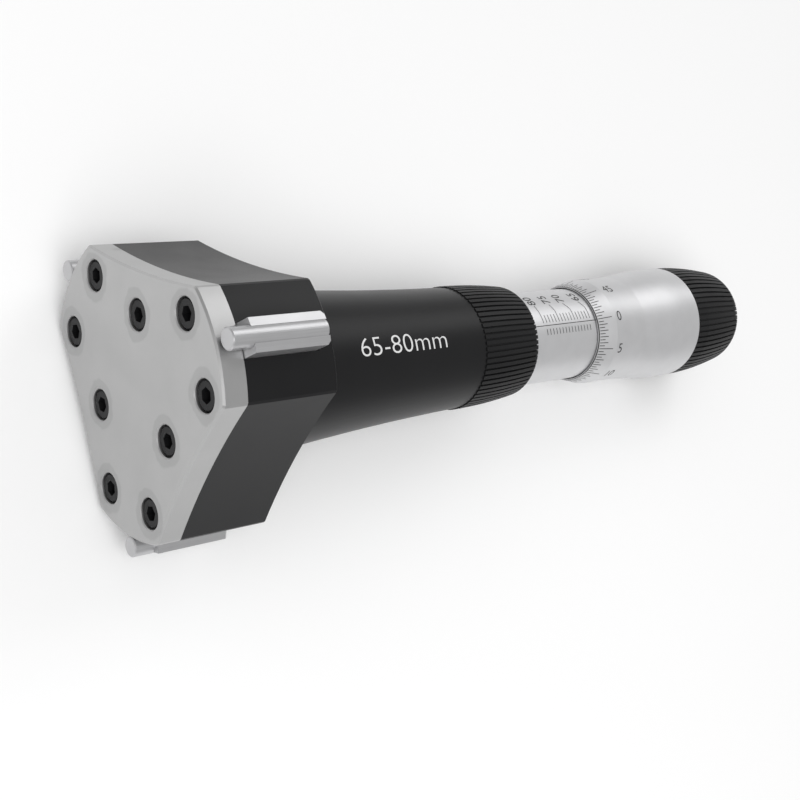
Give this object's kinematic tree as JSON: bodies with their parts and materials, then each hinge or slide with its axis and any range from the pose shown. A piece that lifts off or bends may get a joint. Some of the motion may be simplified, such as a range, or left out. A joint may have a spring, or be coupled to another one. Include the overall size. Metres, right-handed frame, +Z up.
{
  "type": "three-point micrometer",
  "caption": "Three-point internal micrometer with a three-lobed head, sliding anvils, flared handle, scale sleeve, thimble and ribbed slipping end cap.",
  "frame": {"origin": "centre of the bounding box, on the surface that the micrometer lies on", "axes": "+X from the head to the tail along the surface, +Z up; the tool's axis drops 3.83 degrees toward the tail"},
  "size_m": [0.1668, 0.0564, 0.0545],
  "materials": {
    "satin_plate": "satin",
    "black_oxide": "satin",
    "black_anodised": "satin",
    "ribbed_black": "matte",
    "satin_chrome": "satin",
    "bare_steel": "turned",
    "ground_steel": "ground",
    "spring_steel": "drawn",
    "bronze": "turned",
    "friction_disc": "matte"
  },
  "bodies": {
    "head_and_handle": {"cover_plate": "satin_plate", "cover_screws": "black_oxide", "head_body": "black_anodised", "handle_tube": "black_anodised", "collar_grip": "ribbed_black", "scale_sleeve": "satin_chrome", "inner_barrel": "bare_steel", "adjusting_nut": "bare_steel", "guide_bush": "bronze", "key_pin": "bare_steel", "spring_stop_pins": "bare_steel", "return_spring_1": "spring_steel", "return_spring_2": "spring_steel", "return_spring_3": "spring_steel"},
    "cone_carriage": {"actuating_cone": "ground_steel", "push_rod": "bare_steel", "cone_pin": "bare_steel", "thrust_ball": "ground_steel"},
    "thimble_assembly": {"spindle_screw": "bare_steel", "thimble": "satin_chrome", "drive_stud": "bare_steel", "clutch_washers": "friction_disc", "clutch_spring": "spring_steel", "clutch_nut": "bare_steel"},
    "cap_assembly": {"drive_cap": "ribbed_black", "cap_bush": "bronze", "end_plug": "black_anodised"},
    "anvil_1": {"anvil_block_1": "ground_steel", "contact_pin_1": "ground_steel"},
    "anvil_2": {"anvil_block_2": "ground_steel", "contact_pin_2": "ground_steel"},
    "anvil_3": {"anvil_block_3": "ground_steel", "contact_pin_3": "ground_steel"}
  },
  "joints": [
    {"name": "spindle_advance", "type": "slide", "parent": "head_and_handle", "child": "cone_carriage", "axis": [-0.9978, 0, 0.0669], "range_m": [0, 0.0165]},
    {"name": "thimble_turn", "type": "hinge", "parent": "cone_carriage", "child": "thimble_assembly", "pos_m": [-0.08199, 0, 0.02286], "axis": [-0.9978, 0, 0.0669], "range_deg": [0, 11880.01]},
    {"name": "cap_slip", "type": "hinge", "parent": "thimble_assembly", "child": "cap_assembly", "pos_m": [-0.08199, 0, 0.02286], "axis": [-0.9978, 0, 0.0669], "continuous": true},
    {"name": "anvil_1_slide", "type": "slide", "parent": "head_and_handle", "child": "anvil_1", "axis": [0.0669, 0, 0.9978], "range_m": [0, 0.00825], "deforming": ["return_spring_1"]},
    {"name": "anvil_2_slide", "type": "slide", "parent": "head_and_handle", "child": "anvil_2", "axis": [-0.0334, 0.866, -0.4989], "range_m": [0, 0.00825], "deforming": ["return_spring_2"]},
    {"name": "anvil_3_slide", "type": "slide", "parent": "head_and_handle", "child": "anvil_3", "axis": [-0.0334, -0.866, -0.4989], "range_m": [0, 0.00825], "deforming": ["return_spring_3"]}
  ],
  "couplings": [
    {"joint": "thimble_turn", "follows": "spindle_advance", "rad_per_m": 12566},
    {"joint": "anvil_1_slide", "follows": "spindle_advance", "ratio": 0.5},
    {"joint": "anvil_2_slide", "follows": "spindle_advance", "ratio": 0.5},
    {"joint": "anvil_3_slide", "follows": "spindle_advance", "ratio": 0.5}
  ]
}
